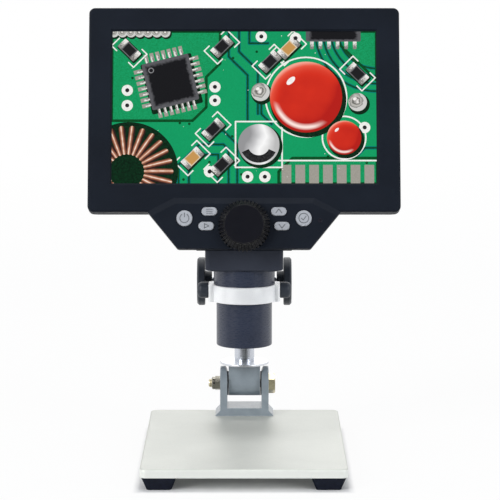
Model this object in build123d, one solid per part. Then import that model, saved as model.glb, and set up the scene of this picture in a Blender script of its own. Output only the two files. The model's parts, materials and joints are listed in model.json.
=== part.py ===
from build123d import *
import os
from math import acos, cos, pi, radians, sin, tan

os.makedirs("parts", exist_ok=True)

# An LCD digital microscope on a metal stand. Millimetres, +Z up, the object stands on z = 0 and is
# symmetric about x = 0. The user sits at -Y; left and right are the user's.

# ---------------------------------------------------------------- driving dimensions
plate_width, plate_depth, plate_thickness = 115.0, 160.0, 5.0
plate_corner = 4.0
foot_height, foot_top, foot_bottom, foot_inset = 7.5, 19.7, 13.8, 0.9

hinge_from_centre = 71.0        # hinge and column axis behind the middle of the plate
hinge_height = 30.85
fork_gap, ear_thickness, fork_depth = 20.8, 4.3, 21.0
fork_foot_width, fork_foot_height, fork_floor = 35.2, 3.4, 4.8
hinge_bolt_d, bolt_clearance = 5.0, 0.05
bolt_head_flats, bolt_head_h, nut_flats, nut_h = 10.9, 4.0, 8.0, 3.1
knuckle_width, knuckle_depth, knuckle_top = 19.1, 15.0, 43.4

flange_d, flange_thickness = 29.5, 1.3
column_d, column_top, column_clearance = 12.0, 190.0, 0.06
spigot_d, spigot_length = 8.0, 4.0

gear_module, pinion_teeth, pressure_angle = 0.6, 10, radians(20)
backlash = 0.12
rack_addendum = 0.55 * gear_module      # stub teeth, so that ten-tooth pinions run without undercut
rack_depth = 1.25 * gear_module
rack_pitch_in_column = 0.95             # pitch line below the column's surface
rack_bottom, rack_top = 58.0, 184.0
pinion_height = 95.0

barrel_from_centre = 33.0       # optical axis behind the middle of the plate
collar_r, collar_bottom, collar_top = 18.0, 88.0, 107.9
sleeve_r, sleeve_bottom = 16.4, 61.9
ring_r, ring_bottom, ring_height, ring_clearance = 19.5, 88.45, 9.85, 0.06
boss_reach, boss_depth, clamp_rise = 21.0, 15.4, 1.0

disc_r, disc_inner, disc_outer = 14.45, 23.6, 28.3
hub_r, hub_inner = 6.25, 19.5
tube_r, tube_half = 4.6, 18.25
thumb_r, thumb_length, stud_r = 4.8, 6.5, 2.0

tilt_back = radians(16)         # the display leans back
panel_from_centre, panel_height = 7.0, 144.05   # bottom front edge of the display housing
housing_w, housing_h, housing_corner = 181.0, 120.65, 3.5
front_depth, housing_depth, wall = 10.0, 22.0, 2.1
screen_w, screen_h, screen_centre = 153.6, 90.0, 61.85
window_bevel = 1.1
control_raise, control_bevel, chin_depth, chin_corner = 2.0, 3.6, 4.0, 2.2
control_top, control_bottom = 8.1, -21.8
control_half_top, control_half_wide, control_half_bottom = 40.4, 55.9, 38.2
pod_half, pod_back, pod_corner = 27.5, 20.0, 7.5     # back is measured from the optical axis
neck_half, neck_bottom, ledge_inset = 22.75, 108.7, 2.5
neck_depth, neck_top = 40.0, 121.6

wheel_v, wheel_r, wheel_face_r, wheel_ribs = -8.75, 15.0, 11.6, 40
wheel_base, wheel_shoulder, wheel_top, rib_depth = 2.4, 5.2, 10.4, 0.9
focus_shaft_r = 2.0
button_clearance, button_top, button_travel = 0.2, 3.0, 0.6
round_button_r, pill_w, pill_h = 4.6, 9.0, 4.9
buttons = {
    "power_button": (-34.35, -4.15, "round"), "ok_button": (34.35, -4.15, "round"),
    "menu_button": (-20.0, -0.15, "pill"), "play_button": (-21.8, -8.65, "pill"),
    "up_button": (20.0, -0.15, "pill"), "down_button": (21.8, -8.65, "pill"),
}
indicator = (43.8, -5.4)

# ---------------------------------------------------------------- derived places
pitch_r = pinion_teeth * gear_module / 2
pinion_r = pitch_r + gear_module
column_r, flange_r = column_d / 2, flange_d / 2
centre_y = (plate_depth / 2 - hinge_from_centre - flange_r) / 2   # the flange overhangs the plate
hinge_y = centre_y + hinge_from_centre
barrel_y = centre_y + barrel_from_centre
panel_y = centre_y + panel_from_centre
pinion_y = hinge_y - column_r + rack_pitch_in_column - pitch_r
plate_bottom, plate_top = foot_height, foot_height + plate_thickness
flange_top = knuckle_top + flange_thickness
ring_middle = ring_bottom + ring_height / 2
clamp_height = ring_middle + clamp_rise
neck_floor = neck_bottom + 1.5
throat_r = 12.6                 # light path and lens stem pass through neck and collar
screen_bottom = screen_centre - screen_h / 2

# Display pieces are drawn in panel coordinates: u to the right, v up the housing's front face,
# w out of it, with the zero at the bottom middle of that face.
panel = Plane(origin=(0, panel_y, panel_height), x_dir=(1, 0, 0),
              z_dir=(0, -cos(tilt_back), sin(tilt_back)))


def on_panel(shape):
    return panel.location * shape


def panel_yz(v, w):
    """Y and Z of a point of the display's middle plane."""
    return (panel_y + v * sin(tilt_back) - w * cos(tilt_back),
            panel_height + v * cos(tilt_back) + w * sin(tilt_back))


def block(x0, x1, y0, y1, z0, z1):
    return Pos((x0 + x1) / 2, (y0 + y1) / 2, (z0 + z1) / 2) * Box(x1 - x0, y1 - y0, z1 - z0)


def rod_z(radius, z0, z1, x=0.0, y=0.0):
    return Pos(x, y, (z0 + z1) / 2) * Cylinder(radius, z1 - z0)


def rod_x(radius, x0, x1, y, z):
    return Pos((x0 + x1) / 2, y, z) * Rot(0, 90, 0) * Cylinder(radius, x1 - x0)


def rod_y(radius, y0, y1, x, z):
    return Pos(x, (y0 + y1) / 2, z) * Rot(90, 0, 0) * Cylinder(radius, y1 - y0)


def outline(points):
    return make_face(Polyline(*points, close=True))


def hexagon(across_flats, turn=0):
    return RegularPolygon(across_flats / 2, 6, major_radius=False, rotation=turn)


def plan(shape, z0, z1):
    """A flat shape, drawn in X and Y, extruded from z0 to z1."""
    return Pos(0, 0, z0) * extrude(shape, z1 - z0)


def side_profile(points, half_width):
    """A Y-Z outline extruded symmetrically in X."""
    return extrude(Plane.YZ * outline(points), half_width, both=True)


def pan_screw(head_r, head_h, shank_r, length, head_z=0.0):
    """A screw along Z: the head stands on head_z, the shank hangs below it, with a cross recess."""
    head = rod_z(head_r, head_z, head_z + head_h)
    head = chamfer(head.edges().sort_by(Axis.Z)[-1], head_h * 0.3)
    slot = Box(head_r * 1.1, head_r * 0.28, head_h) + Box(head_r * 0.28, head_r * 1.1, head_h)
    return head + rod_z(shank_r, head_z - length, head_z) - Pos(0, 0, head_z + head_h) * slot


# ---------------------------------------------------------------- teeth
def involute(radius, base_r):
    angle = acos(base_r / max(radius, base_r))
    return tan(angle) - angle


def pinion_face():
    """Ten involute teeth, one of them pointing along +X."""
    base_r = pitch_r * cos(pressure_angle)
    radii = (pitch_r - rack_depth, base_r, pitch_r, pinion_r)
    at_pitch = pi / (2 * pinion_teeth) - backlash / (2 * pitch_r) + involute(pitch_r, base_r)
    flank = [(r, at_pitch - involute(r, base_r)) for r in radii]
    points = []
    for tooth in range(pinion_teeth):
        middle = 2 * pi * tooth / pinion_teeth
        points += [(r * cos(middle - half), r * sin(middle - half)) for r, half in flank]
        points += [(r * cos(middle + half), r * sin(middle + half)) for r, half in reversed(flank)]
    return outline(points)


def rack_gaps(start, end, gap_at, clear):
    """Points (along, out) of a cutter that leaves rack teeth between start and end.

    A gap is centred at gap_at; out is measured from the pitch line, away from the rack's body.
    """
    pitch = pi * gear_module
    at_pitch = pitch / 2 + backlash / 2
    at_tip = at_pitch / 2 + rack_addendum * tan(pressure_angle)
    at_root = at_pitch / 2 - rack_depth * tan(pressure_angle)
    first = int((start - gap_at) / pitch)
    count = int((end - start) / pitch)
    points = [(gap_at + first * pitch - pitch, clear)]
    for index in range(count):
        middle = gap_at + (first + index) * pitch
        points += [(middle - at_tip, rack_addendum), (middle - at_root, -rack_depth),
                   (middle + at_root, -rack_depth), (middle + at_tip, rack_addendum)]
    return points + [(gap_at + (first + count) * pitch, clear)]


# ---------------------------------------------------------------- base
def make_base():
    plate = Pos(0, centre_y, 0) * plan(RectangleRounded(plate_width, plate_depth, plate_corner),
                                       plate_bottom, plate_top)
    plate = fillet(plate.edges().group_by(Axis.Z)[-1], 1.3)
    foot_x = plate_width / 2 - foot_inset - foot_top / 2
    foot_y = plate_depth / 2 - foot_inset - foot_top / 2
    places = {"front_left": (-foot_x, centre_y - foot_y), "front_right": (foot_x, centre_y - foot_y),
              "rear_left": (-foot_x, centre_y + foot_y), "rear_right": (foot_x, centre_y + foot_y)}
    foot = loft([Pos(0, 0, 0) * RectangleRounded(foot_bottom, foot_bottom, 2.0),
                 Pos(0, 0, foot_height) * RectangleRounded(foot_top, foot_top, 2.5)])
    foot = foot - rod_z(3.6, 0, 4.0) - rod_z(1.75, 4.0, foot_height)
    nodes = {}
    screws = []
    for name, (x, y) in places.items():
        nodes["foot_" + name] = Pos(x, y, 0) * foot
        plate -= rod_z(1.7, plate_bottom, plate_bottom + 4.0, x, y)
        screws.append(Pos(x, y, 0) * Rot(180, 0, 0) * pan_screw(3.0, 1.8, 1.6, 6.6, -4.0))
    nodes["foot_screws"] = Compound(children=screws)

    fork_screws = []
    fork_holes = []
    for x in (-7.5, 7.5):
        for radius, low, high in ((4.2, plate_bottom, plate_bottom + 2.6), (2.1, plate_bottom, plate_top)):
            plate -= rod_z(radius, low, high, x, hinge_y)
        fork_holes.append(rod_z(2.05, plate_top, plate_top + 3.6, x, hinge_y))
        screw = Rot(180, 0, 0) * pan_screw(3.8, 2.3, 2.0, 5.6, -(plate_bottom + 2.6))
        fork_screws.append(Pos(x, hinge_y, 0) * screw)
    nodes["base_plate"] = plate
    nodes["fork_screws"] = Compound(children=fork_screws)
    nodes["hinge_fork"] = make_fork(fork_holes)
    return nodes


def make_fork(screw_holes):
    """A cast fork: ears rounded about the bolt, bevelled at the top, on a foot that flares out."""
    inner = fork_gap / 2
    outer = inner + ear_thickness
    ear_top = hinge_height + fork_depth / 2
    slot_floor = plate_top + fork_floor
    right = [(fork_foot_width / 2, plate_top), (fork_foot_width / 2, plate_top + 0.3),
             (outer, plate_top + fork_foot_height), (outer, ear_top - 0.9), (outer - 0.7, ear_top),
             (inner + 1.2, ear_top), (inner, ear_top - 3.2), (inner, slot_floor)]
    left = [(-x, z) for x, z in reversed(right)]
    front = Plane.XZ * outline(right + left)
    body = Pos(0, hinge_y, 0) * extrude(front, fork_depth / 2, both=True)
    side = block(-20, 20, hinge_y - fork_depth / 2, hinge_y + fork_depth / 2, plate_top, hinge_height)
    side += rod_x(fork_depth / 2, -20, 20, hinge_y, hinge_height)
    body = body & side
    body -= rod_x(hinge_bolt_d / 2 + bolt_clearance, -20, 20, hinge_y, hinge_height)
    for hole in screw_holes:
        body -= hole
    return body


def make_hinge_hardware():
    """Hex bolt from the right, washers in the gaps, and a lock nut with a plastic collar."""
    ear = fork_gap / 2 + ear_thickness
    bolt = rod_x(hinge_bolt_d / 2, -ear - 7.1, ear, hinge_y, hinge_height)
    bolt = chamfer(bolt.edges().sort_by(Axis.X)[0], 0.6)
    head = Rot(0, 90, 0) * extrude(hexagon(bolt_head_flats), bolt_head_h)
    corner_r = bolt_head_flats / 2 / cos(radians(30)) + 0.05
    dome = rod_x(corner_r, ear, ear + bolt_head_h, hinge_y, hinge_height)
    head = Pos(ear, hinge_y, hinge_height) * head & chamfer(dome.edges().sort_by(Axis.X)[-1], 0.7)
    nut = Pos(-ear - nut_h, hinge_y, hinge_height) * Rot(0, 90, 0) * extrude(hexagon(nut_flats, 10), nut_h)
    collar = rod_x(nut_flats / 2 - 0.1, -ear - nut_h - 2.1, -ear - nut_h, hinge_y, hinge_height)
    collar = chamfer(collar.edges().sort_by(Axis.X)[0], 0.6)
    nut = nut + collar - rod_x(hinge_bolt_d / 2 + 0.03, -ear - 9, -ear + 1, hinge_y, hinge_height)
    washers = []
    for side in (-1, 1):
        outer = side * fork_gap / 2
        inner = side * (fork_gap / 2 - 0.7)
        x0, x1 = min(outer, inner), max(outer, inner)
        ring = rod_x(6.0, x0, x1, hinge_y, hinge_height)
        washers.append(ring - rod_x(hinge_bolt_d / 2 + 0.08, x0 - 1, x1 + 1, hinge_y, hinge_height))
    return {"hinge_bolt": bolt + head, "hinge_nut": nut, "friction_washers": Compound(children=washers)}


# ---------------------------------------------------------------- column
def make_column():
    half_depth = knuckle_depth / 2
    top = block(-knuckle_width / 2, knuckle_width / 2, hinge_y - half_depth, hinge_y + half_depth,
                hinge_height, knuckle_top)
    knuckle = top + rod_x(half_depth, -knuckle_width / 2, knuckle_width / 2, hinge_y, hinge_height)
    knuckle = chamfer(knuckle.edges().group_by(Axis.Z)[-1], 0.7)
    knuckle -= rod_x(hinge_bolt_d / 2 + bolt_clearance, -15, 15, hinge_y, hinge_height)
    knuckle -= rod_z(spigot_d / 2 + 0.05, knuckle_top - spigot_length, knuckle_top, 0, hinge_y)

    flange = rod_z(flange_r, knuckle_top, flange_top, 0, hinge_y)
    flange = fillet(flange.edges().sort_by(Axis.Z)[-1], 0.6)
    flange -= rod_z(spigot_d / 2 + 0.05, knuckle_top, flange_top, 0, hinge_y)

    post = rod_z(column_r, flange_top, column_top, 0, hinge_y)
    post = chamfer(post.edges().sort_by(Axis.Z)[-1], 0.8)
    post += rod_z(spigot_d / 2, knuckle_top - spigot_length, flange_top, 0, hinge_y)
    pitch_line = hinge_y - column_r + rack_pitch_in_column
    teeth = [(pitch_line - out, z) for z, out in rack_gaps(rack_bottom, rack_top, pinion_height, 2.0)]
    post -= side_profile(teeth, column_r)

    cap = rod_z(column_r, column_top, column_top + 2.5, 0, hinge_y)
    cap = fillet(cap.edges().sort_by(Axis.Z)[-1], 1.2)
    return {"hinge_knuckle": knuckle, "column_flange": flange, "column_post": post, "column_cap": cap}


# ---------------------------------------------------------------- carriage and its knobs
def make_carriage():
    """Slides on the column, holds the pinion's bearing tube and carries the clamp ring."""
    body = rod_z(9.5, 82.0, 106.0, 0, hinge_y)
    body = chamfer(body.edges().filter_by(GeomType.CIRCLE), 0.8)
    pad_y = barrel_y + ring_r + 1.5
    web = block(-9, 9, pad_y, hinge_y, 84.5, 105.0)
    body += chamfer(web.edges().filter_by(Axis.Y), 1.5)
    body += rod_x(tube_r, -tube_half, tube_half, pinion_y, pinion_height)
    body -= rod_z(column_r + column_clearance, 80, 108, 0, hinge_y)
    body -= rod_x(pinion_r + 0.06, -tube_half, tube_half, pinion_y, pinion_height)
    body -= rod_y(1.55, hinge_y, hinge_y + 12, 0, pinion_height)
    tension = rod_y(1.5, hinge_y + column_r + 0.3, hinge_y + 9.3, 0, pinion_height)
    socket = Pos(0, hinge_y + 9.3, pinion_height) * Rot(90, 0, 0) * extrude(hexagon(1.5), 1.4)
    tension -= socket

    ring = rod_z(ring_r, ring_bottom, ring_bottom + ring_height, 0, barrel_y)
    bosses = block(-boss_reach, boss_reach, barrel_y - boss_depth / 2, barrel_y + boss_depth / 2,
                   ring_bottom, ring_bottom + ring_height)
    ring += fillet(bosses.edges().filter_by(Axis.Z), 1.6)
    ring += block(-9, 9, barrel_y + 12, pad_y, ring_bottom, ring_bottom + ring_height)
    bore = collar_r + ring_clearance
    ring -= rod_z(bore, ring_bottom, ring_bottom + ring_height, 0, barrel_y)
    rims = ring.edges().filter_by(lambda e: e.geom_type == GeomType.CIRCLE and e.radius > ring_r - 0.1)
    ring = chamfer(rims, 0.35)
    ring -= rod_x(stud_r + 0.05, -boss_reach - 1, boss_reach + 1, barrel_y, clamp_height)

    screws = []
    for x in (-5.0, 5.0):
        seat = barrel_y + collar_r + 0.6
        ring -= rod_y(2.6, barrel_y + 10, seat + 0.6, x, ring_middle)
        ring -= rod_y(1.3, seat, pad_y, x, ring_middle)
        body -= rod_y(1.3, pad_y, pad_y + 4.2, x, ring_middle)
        head = rod_y(2.4, seat - 0.55, seat + 0.6, x, ring_middle)
        head &= rod_z(collar_r + 6, 80, 110, 0, barrel_y) - rod_z(collar_r + 0.3, 80, 110, 0, barrel_y)
        screws.append(head + rod_y(1.2, seat + 0.6, pad_y + 4.0, x, ring_middle))
    return {"carriage": body, "tension_screw": tension, "clamp_ring": ring,
            "ring_screws": Compound(children=screws)}


def make_height_knobs():
    """A pinion cut in the middle of a cross shaft, with a large knob at each end."""
    mid = 7.0
    teeth = Plane(origin=(-mid, pinion_y, pinion_height), x_dir=(0, 1, 0), z_dir=(1, 0, 0)) * pinion_face()
    shaft = extrude(teeth, 2 * mid)
    for side in (-1, 1):
        x0, x1 = sorted((side * mid, side * (hub_inner - 0.4)))
        shaft += rod_x(pinion_r, x0, x1, pinion_y, pinion_height)
        x0, x1 = sorted((side * (hub_inner - 0.4), side * (disc_outer - 1.6)))
        shaft += rod_x(2.5, x0, x1, pinion_y, pinion_height)
    nodes = {"pinion_shaft": shaft}
    edge = 1.1
    profile = [(2.55, hub_inner), (hub_r - 0.5, hub_inner), (hub_r, hub_inner + 0.5), (hub_r, disc_inner),
               (disc_r - 0.5, disc_inner), (disc_r, disc_inner + 0.5), (disc_r, disc_outer - edge),
               (disc_r - edge, disc_outer), (10.4, disc_outer), (9.6, disc_outer - 0.8),
               (0, disc_outer - 0.8), (0, disc_outer - 1.5), (2.55, disc_outer - 1.5)]
    knob = revolve(Plane.XZ * outline(profile), Axis.Z)
    for name, angle in (("height_knob_left", -90), ("height_knob_right", 90)):
        nodes[name] = Pos(0, pinion_y, pinion_height) * Rot(0, angle, 0) * knob
    return nodes


def make_clamp_screws():
    """Thumb screws through the ring's flat bosses, pressing on the barrel's collar."""
    round_edge = 2.6
    base = boss_reach + 0.1
    end = base + thumb_length
    stud_end = collar_r + 0.15
    knob = rod_z(thumb_r, base, end)
    knob = fillet(knob.edges().sort_by(Axis.Z)[-1], round_edge)
    knob = chamfer(knob.edges().sort_by(Axis.Z)[0], 0.4)
    knob -= rod_z(stud_r + 0.03, base, base + 4.5)
    stud = rod_z(stud_r, stud_end, base + 4.3)
    nodes = {}
    for side, angle in (("left", -90), ("right", 90)):
        place = Pos(0, barrel_y, clamp_height) * Rot(0, angle, 0)
        nodes["clamp_knob_" + side] = place * knob
        nodes["clamp_stud_" + side] = place * stud
    return nodes


# ---------------------------------------------------------------- barrel and optics
neck_screw_places = [(15.2 * cos(radians(angle)), barrel_y + 15.2 * sin(radians(angle)))
                     for angle in (45, 135, 225, 315)]


def make_barrel():
    lip = sleeve_bottom + 0.8
    shoulder = sleeve_bottom + 5.8
    sleeve = rod_z(sleeve_r, sleeve_bottom, collar_bottom, 0, barrel_y)
    sleeve = fillet(sleeve.edges().sort_by(Axis.Z)[0], 0.6)
    sleeve += rod_z(15.15, collar_bottom, 94.0, 0, barrel_y)
    for radius, low, high in ((14.2, sleeve_bottom, lip), (15.0, lip, shoulder),
                              (14.0, shoulder, shoulder + 1.2), (15.0, shoulder + 1.2, collar_bottom - 1),
                              (14.0, collar_bottom - 1, 94.0)):
        sleeve -= rod_z(radius, low, high, 0, barrel_y)

    collar = rod_z(collar_r, collar_bottom, collar_top, 0, barrel_y)
    collar = chamfer(collar.edges().sort_by(Axis.Z)[0], 0.3)
    collar -= rod_z(15.2, collar_bottom, collar_top - 3.5, 0, barrel_y)
    collar -= rod_z(throat_r, collar_top - 3.5, collar_top, 0, barrel_y)
    for x, y in neck_screw_places:
        collar -= rod_z(1.02, collar_top - 3.5, collar_top, x, y)

    window = rod_z(14.9, lip, lip + 1.2, 0, barrel_y)
    board_z = shoulder - 1.6
    led_board = rod_z(14.9, board_z, shoulder, 0, barrel_y) - rod_z(7.0, board_z, shoulder, 0, barrel_y)
    leds = []
    for index in range(8):
        angle = radians(45 * index + 22.5)
        place = Pos(10.9 * cos(angle), barrel_y + 10.9 * sin(angle), board_z - 0.7)
        lens = Pos(0, 0, -0.3) * Cylinder(1.2, 0.6)
        leds.append(place * (Pos(0, 0, 0.35) * Box(3.4, 3.4, 0.7) + lens))

    sensor_z = collar_top - 3.5
    sensor = rod_z(14.9, sensor_z - 1.6, sensor_z, 0, barrel_y)
    sensor += block(-4, 4, barrel_y - 4, barrel_y + 4, sensor_z - 2.7, sensor_z - 1.6)
    sensor -= block(8.3, 13.0, barrel_y - 4, barrel_y + 4, sensor_z - 3, sensor_z)
    return {"barrel_sleeve": sleeve, "barrel_collar": collar, "light_window": window,
            "led_board": led_board, "leds": Compound(children=leds), "sensor_board": sensor}


def make_lens():
    """The lens carrier hangs on a toothed stem that the focus pinion drives up and down."""
    low, web, top = 71.2, 76.0, 90.0
    carrier = rod_z(13.2, web, top, 0, barrel_y) - rod_z(11.2, web + 2, top, 0, barrel_y)
    carrier += rod_z(6.2, low, web, 0, barrel_y)
    carrier -= rod_z(4.8, low, web + 2, 0, barrel_y)
    carrier += block(9.0, 11.6, barrel_y - 3, barrel_y + 3, web + 1, 117)
    carrier += block(pitch_r - 0.6, 11.6, barrel_y - 3.5, barrel_y + 3.5, 115, 141)
    gaps = [(pitch_r - out, v) for v, out in rack_gaps(-26, 12, wheel_v, 3.0)]
    carrier -= on_panel(Pos(0, 0, -40) * extrude(outline(gaps), 25))
    glass = rod_z(4.7, low + 0.6, low + 3.0, 0, barrel_y)
    bulge = Pos(0, barrel_y, low + 0.2 + 14.0) * Sphere(14.0)
    return {"lens_carrier": carrier, "lens_glass": glass & bulge}


def make_neck():
    half_depth = neck_depth / 2
    body = Pos(0, barrel_y, 0) * plan(RectangleRounded(2 * neck_half, neck_depth, 3.0), neck_bottom, neck_top)
    body = chamfer(body.edges().group_by(Axis.Z)[0], 0.5)
    ledge = RectangleRounded(2 * (neck_half - ledge_inset), neck_depth - 2 * ledge_inset, 4.0)
    body += Pos(0, barrel_y, 0) * plan(ledge, collar_top, neck_bottom)
    hollow = RectangleRounded(2 * neck_half - 5, neck_depth - 5, 2.0)
    body -= Pos(0, barrel_y, 0) * plan(hollow, neck_floor, neck_top)
    body -= rod_z(throat_r, collar_top, neck_floor, 0, barrel_y)
    screws = []
    for x, y in neck_screw_places:
        body -= rod_z(1.15, collar_top, neck_floor, x, y)
        screws.append(Pos(x, y, 0) * pan_screw(1.9, 1.4, 1.0, neck_floor - collar_top + 2.6, neck_floor))
    return {"neck": body, "neck_screws": Compound(children=screws)}


# ---------------------------------------------------------------- display housing
def round_lower_corners(face):
    return fillet(face.vertices().group_by(Axis.Y)[0], chin_corner)


def control_outline(inset=0.0):
    slant = inset * 0.6
    face = outline([(-control_half_wide + 1.5 * inset, 0), (-control_half_top + slant, control_top - inset),
                    (control_half_top - slant, control_top - inset), (control_half_wide - 1.5 * inset, 0),
                    (control_half_bottom - slant, control_bottom + inset),
                    (-control_half_bottom + slant, control_bottom + inset)])
    return round_lower_corners(face)


corner_screws = [(x * 85.3, v) for x in (-1, 1) for v in (6.6, housing_h - 5.0)]
chin_screws = [(-43.4, -10.2), (43.4, -10.2)]


def make_front_housing():
    """Bezel with the screen window, and the raised control panel that hangs below it."""
    body = Pos(0, housing_h / 2, 0) * plan(RectangleRounded(housing_w, housing_h, housing_corner),
                                           -front_depth, 0)
    body = fillet(body.edges().group_by(Axis.Z)[-1], 1.1)
    control = plan(control_outline(), -chin_depth, control_raise)
    front_face = control.faces().sort_by(Axis.Z)[-1]
    bevelled = [e for e in front_face.edges() if e.center().Y > 1]
    control = chamfer(bevelled, control_bevel, control_raise - 0.02, reference=front_face)
    lower = [e for e in control.faces().sort_by(Axis.Z)[-1].edges() if e.center().Y < 0]
    control = chamfer(lower, 0.5)
    body += control
    wheel_pad = plan(Pos(0, wheel_v) * Circle(wheel_r + 0.5), -1, control_raise)
    body += wheel_pad & plan(Pos(0, control_bottom + 20.5) * Rectangle(60, 40), -1, control_raise)

    inner = RectangleRounded(housing_w - 2 * wall, housing_h - 2 * wall, 2.0)
    body -= Pos(0, housing_h / 2, 0) * plan(inner, -front_depth, -wall)
    body -= plan(control_outline(wall), -front_depth, control_raise - 2.2)
    window = Pos(0, screen_centre, 0) * plan(Rectangle(screen_w, screen_h), -wall, 0)
    bevel = loft([Pos(0, screen_centre, 0) * Rectangle(screen_w + 2 * window_bevel, screen_h + 2 * window_bevel),
                  Pos(0, screen_centre, -window_bevel) * Rectangle(screen_w, screen_h)])
    body -= window + bevel
    for u, v in corner_screws:
        body += plan(Pos(u, v) * Circle(3.0), -front_depth, -wall + 0.5)
        body -= plan(Pos(u, v) * Circle(1.25), -front_depth, -4.0)
    for u, v in chin_screws:
        body += plan(Pos(u, v) * Circle(2.4), -chin_depth, 0)
        body -= plan(Pos(u, v) * Circle(1.15), -chin_depth, -0.8)
    for u, v, kind in buttons.values():
        body -= plan(button_face(u, v, kind, button_clearance), -3, control_raise + 1)
    body -= plan(Pos(0, wheel_v) * Circle(4.05), -3, control_raise + 1)
    body -= plan(Pos(*indicator) * Circle(1.2), -3, control_raise + 1)
    return on_panel(body)


def pod_solid(inset=0.0):
    """The bulge behind the display that carries the neck, open towards the display."""
    back_y = barrel_y + pod_back - inset
    floor = neck_top + inset
    upper = panel_yz(62 - inset, -housing_depth + 1 + inset)
    points = [(panel_yz(0, -chin_depth)[0] - 5.6 + inset, floor), (back_y, floor), (back_y, 146.0), upper,
              panel_yz(62 - inset, -front_depth - 3), panel_yz(0, -front_depth - 3),
              panel_yz(0, -chin_depth - inset)]
    solid = side_profile(points, pod_half - inset)
    rear = [e for e in solid.edges() if e.center().Y > barrel_y + 5 and abs(e.center().X) > 5
            and abs(e.tangent_at(0).X) < 0.1 and e.center().Z > floor + 1 and e.length > 12
            and e.center().Y > panel_yz(40, -housing_depth)[0] - 0.5]
    return fillet(rear, pod_corner - inset)


def make_rear_housing():
    """Drafted rear shell with screw wells, the chin behind the keys, and the pod."""
    draft = 1.7
    rim = Pos(0, housing_h / 2, -front_depth) * RectangleRounded(housing_w, housing_h, housing_corner)
    back = Pos(0, housing_h / 2, -housing_depth) * RectangleRounded(
        housing_w - 2 * draft, housing_h - 2 * draft, housing_corner)
    shell = loft([rim, back])
    shell = fillet(shell.edges().group_by(Axis.Z)[0], 2.6)
    inner_rim = Pos(0, housing_h / 2, -front_depth) * RectangleRounded(
        housing_w - 2 * wall, housing_h - 2 * wall, 2.0)
    inner_back = Pos(0, housing_h / 2, -housing_depth + wall) * RectangleRounded(
        housing_w - 2 * wall - 2 * draft, housing_h - 2 * wall - 2 * draft, 2.0)
    hollow = loft([inner_rim, inner_back])

    chin_back = front_depth + 2.0
    chin = loft([Pos(0, 0, -chin_depth) * chin_outline(0.0), Pos(0, 0, -chin_back) * chin_outline(3.0)])
    chin_hollow = loft([Pos(0, 0, -chin_depth) * chin_outline(wall),
                        Pos(0, 0, -chin_back + wall) * chin_outline(wall + 2.2)])
    bridge = loft([Pos(0, 0.75, -w) * Rectangle(2 * (control_half_wide - 1.4 * inset), 1.5)
                   for w, inset in ((front_depth, 2.25), (chin_back, 3.0))])

    outer = on_panel(shell + chin + bridge) + pod_solid()
    outer -= on_panel(hollow + chin_hollow)
    outer -= pod_solid(wall)
    outer -= block(-18, 18, barrel_y - 16, barrel_y + 16, neck_top, neck_top + wall)
    for u, v in corner_screws:
        outer += on_panel(plan(Pos(u, v) * Circle(3.2), -housing_depth + wall, -front_depth))
        outer -= on_panel(plan(Pos(u, v) * Circle(2.8), -housing_depth - 1, -housing_depth + 3.0))
        outer -= on_panel(plan(Pos(u, v) * Circle(1.35), -housing_depth, -front_depth))
    for u, v in chin_screws:
        outer += on_panel(plan(Pos(u, v) * Circle(2.7), -chin_back + wall, -chin_depth))
        outer -= on_panel(plan(Pos(u, v) * Circle(2.3), -chin_back - 1, -chin_back + 3.0))
        outer -= on_panel(plan(Pos(u, v) * Circle(1.25), -chin_back, -chin_depth))
    side = housing_w / 2
    outer -= on_panel(block(side - 6, side + 1, 44, 52.2, -17.4, -14.2))
    outer -= on_panel(block(side - 6, side + 1, 66, 78.4, -16.4, -14.2))
    return outer


def chin_outline(inset):
    face = outline([(-control_half_wide + 1.4 * inset, 0), (control_half_wide - 1.4 * inset, 0),
                    (control_half_bottom - 0.9 * inset, control_bottom + inset),
                    (-control_half_bottom + 0.9 * inset, control_bottom + inset)])
    return round_lower_corners(face)


def make_housing_screws():
    screws = []
    for places, depth in ((corner_screws, housing_depth), (chin_screws, front_depth + 2.0)):
        for u, v in places:
            head_r = 2.5 if depth == housing_depth else 2.1
            length = depth - 3.0 - (5.0 if depth == housing_depth else 1.2)
            screw = pan_screw(head_r, 1.6, 1.05, length)
            screws.append(on_panel(Pos(u, v, -depth + 3.0) * Rot(180, 0, 0) * screw))
    return Compound(children=screws)


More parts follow.
